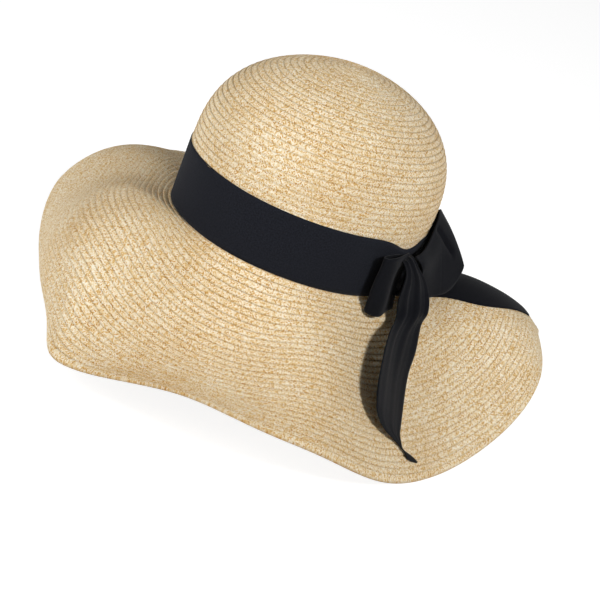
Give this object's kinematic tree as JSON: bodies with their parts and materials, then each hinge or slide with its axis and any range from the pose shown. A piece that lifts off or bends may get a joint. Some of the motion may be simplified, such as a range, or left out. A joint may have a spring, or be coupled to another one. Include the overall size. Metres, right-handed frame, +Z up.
{
  "type": "straw sun hat",
  "caption": "Floppy sun hat sewn from straw braid: domed oval crown, wide wavy brim, inner sweatband, and a dark ribbon band with a side bow whose tails lie on the brim.",
  "frame": {"origin": "middle of the head opening, where the crown's upright oval wall meets the brim", "axes": "+Z up the crown, -Y to the wearer's front, +X to the wearer's left, where the bow sits"},
  "size_m": [0.3825, 0.3954, 0.2208],
  "materials": {
    "straw": "sewn paper straw braid, matte, cream with tan and golden flecks",
    "ribbon": "black ribbon, fine weave, matte",
    "sweatband_tape": "woven cotton tape, matte"
  },
  "bodies": {
    "hat": {"crown": "straw", "crown_button": "straw", "brim": "straw", "brim_edge": "straw", "sweatband": "sweatband_tape", "ribbon_band": "ribbon", "bow_knot": "ribbon", "bow_front_loop": "ribbon", "bow_back_loop": "ribbon"},
    "front_tail": {"bow_front_tail": "ribbon"},
    "back_tail": {"bow_back_tail": "ribbon"}
  },
  "joints": [
    {"name": "front_tail_lift", "type": "hinge", "parent": "hat", "child": "front_tail", "pos_m": [0.0967, -0.0156, 0.016], "axis": [-0.1173, -0.9931, 0], "range_deg": [0, 60]},
    {"name": "back_tail_lift", "type": "hinge", "parent": "hat", "child": "back_tail", "pos_m": [0.0905, -0.005, 0.0026], "axis": [0, -1, 0], "range_deg": [0, 6]}
  ]
}
